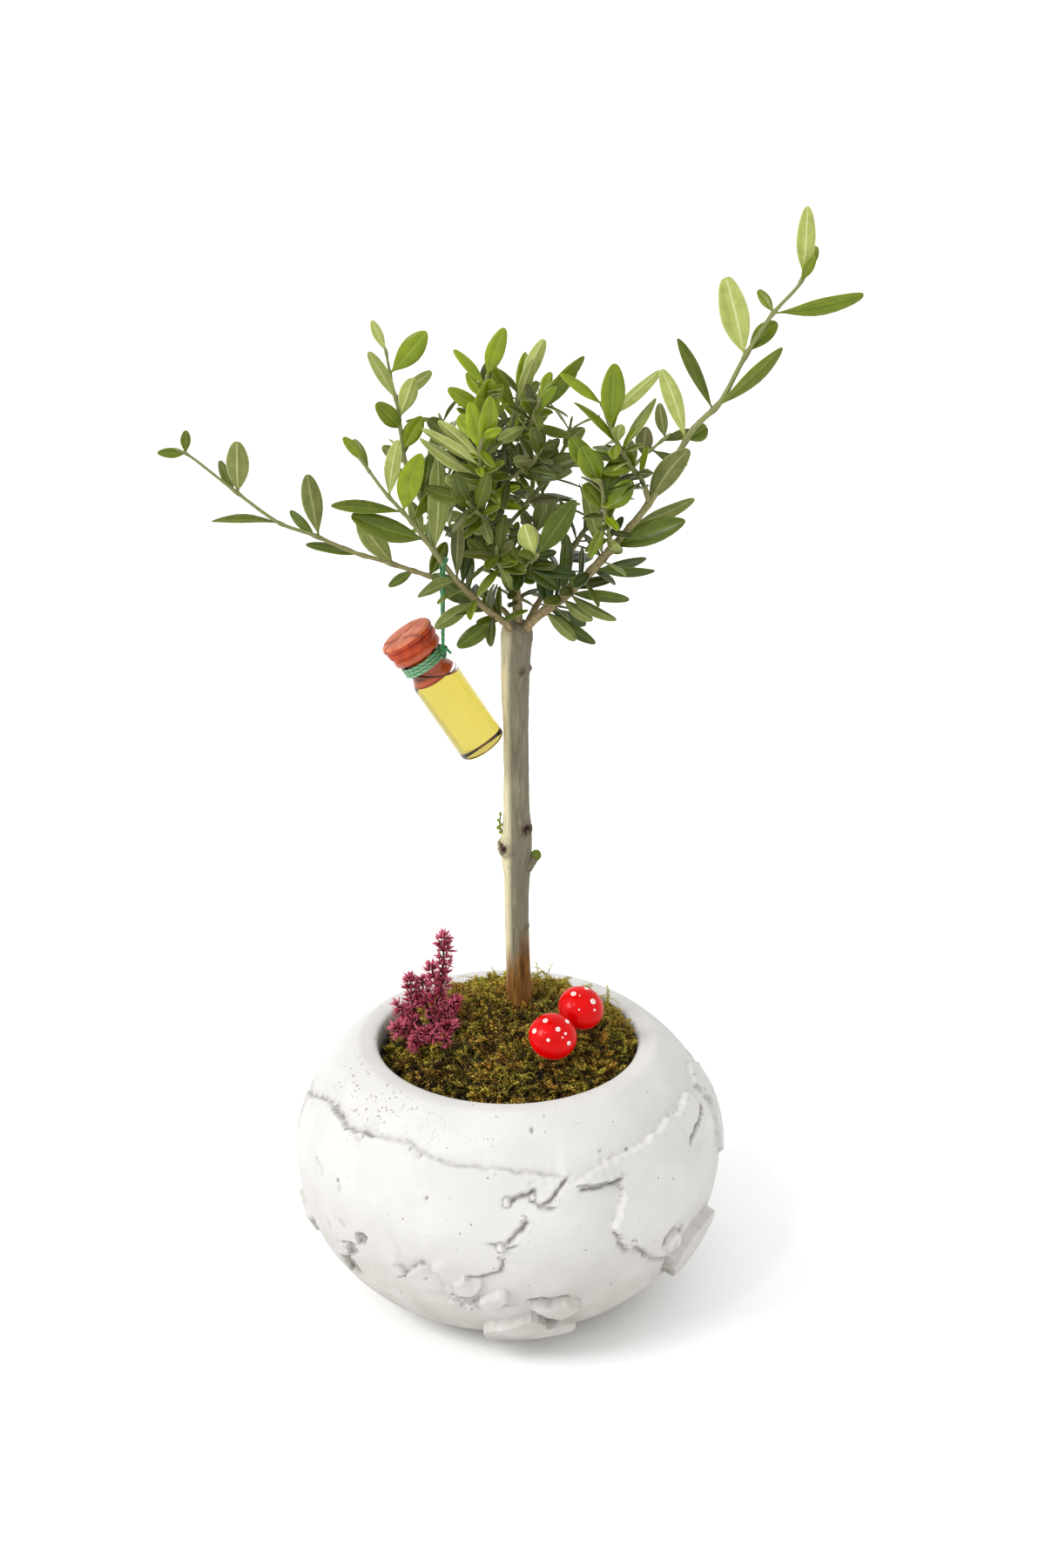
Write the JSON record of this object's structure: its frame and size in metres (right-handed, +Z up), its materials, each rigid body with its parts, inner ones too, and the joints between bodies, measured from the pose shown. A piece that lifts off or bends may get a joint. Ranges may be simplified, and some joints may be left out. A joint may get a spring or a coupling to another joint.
{
  "type": "olive bonsai in a bowl",
  "caption": "Young olive tree in a round broken-plaster bowl of moss, with a small oil vial hung on a cord, two toadstool picks and a dried flower sprig.",
  "frame": {"origin": "centre of the flat face that the bowl stands on", "axes": "+Z up along the trunk, +X to the right of a viewer at the front, +Y away from that viewer"},
  "size_m": [0.2801, 0.1898, 0.4884],
  "materials": {
    "plaster": "matte white plaster",
    "earth": "loose dark earth",
    "moss": "soft olive and brown moss",
    "bark": "matte bark",
    "leaf": "satin green leaves on green-grey twigs",
    "dried_flower": "dry raspberry florets",
    "toadstool_red": "glossy red lacquer with white dots",
    "toadstool_white": "matte cream",
    "glass": "clear glass",
    "stopper_rubber": "orange-red rubber",
    "oil": "clear yellow-green oil",
    "cord": "twisted green cord"
  },
  "bodies": {
    "root": {"pot": "plaster", "soil": "earth", "moss": "moss", "trunk": "bark", "crown_leader": "leaf", "crown_left": "leaf", "crown_front": "leaf", "crown_right": "leaf", "crown_dark": "leaf", "crown_glossy": "leaf", "crown_inner_left": "leaf", "crown_low_front": "leaf", "crown_back_top": "leaf", "crown_back_left": "leaf", "crown_back_right": "leaf", "crown_back_mid": "leaf", "crown_back_low_left": "leaf", "crown_back_low": "leaf", "branch_right": "leaf", "branch_right_back": "leaf", "twig_right_mid": "leaf", "twig_right_inner": "leaf", "branch_left": "leaf", "branch_left_up": "leaf", "twig_left_tall": "leaf", "dried_sprig": "dried_flower", "toadstool_front_cap": "toadstool_red", "toadstool_front_stem": "toadstool_white", "toadstool_back_cap": "toadstool_red", "toadstool_back_stem": "toadstool_white", "vial_glass": "glass", "vial_stopper": "stopper_rubber", "vial_oil": "oil", "hanging_cord": "cord"}
  },
  "joints": []
}
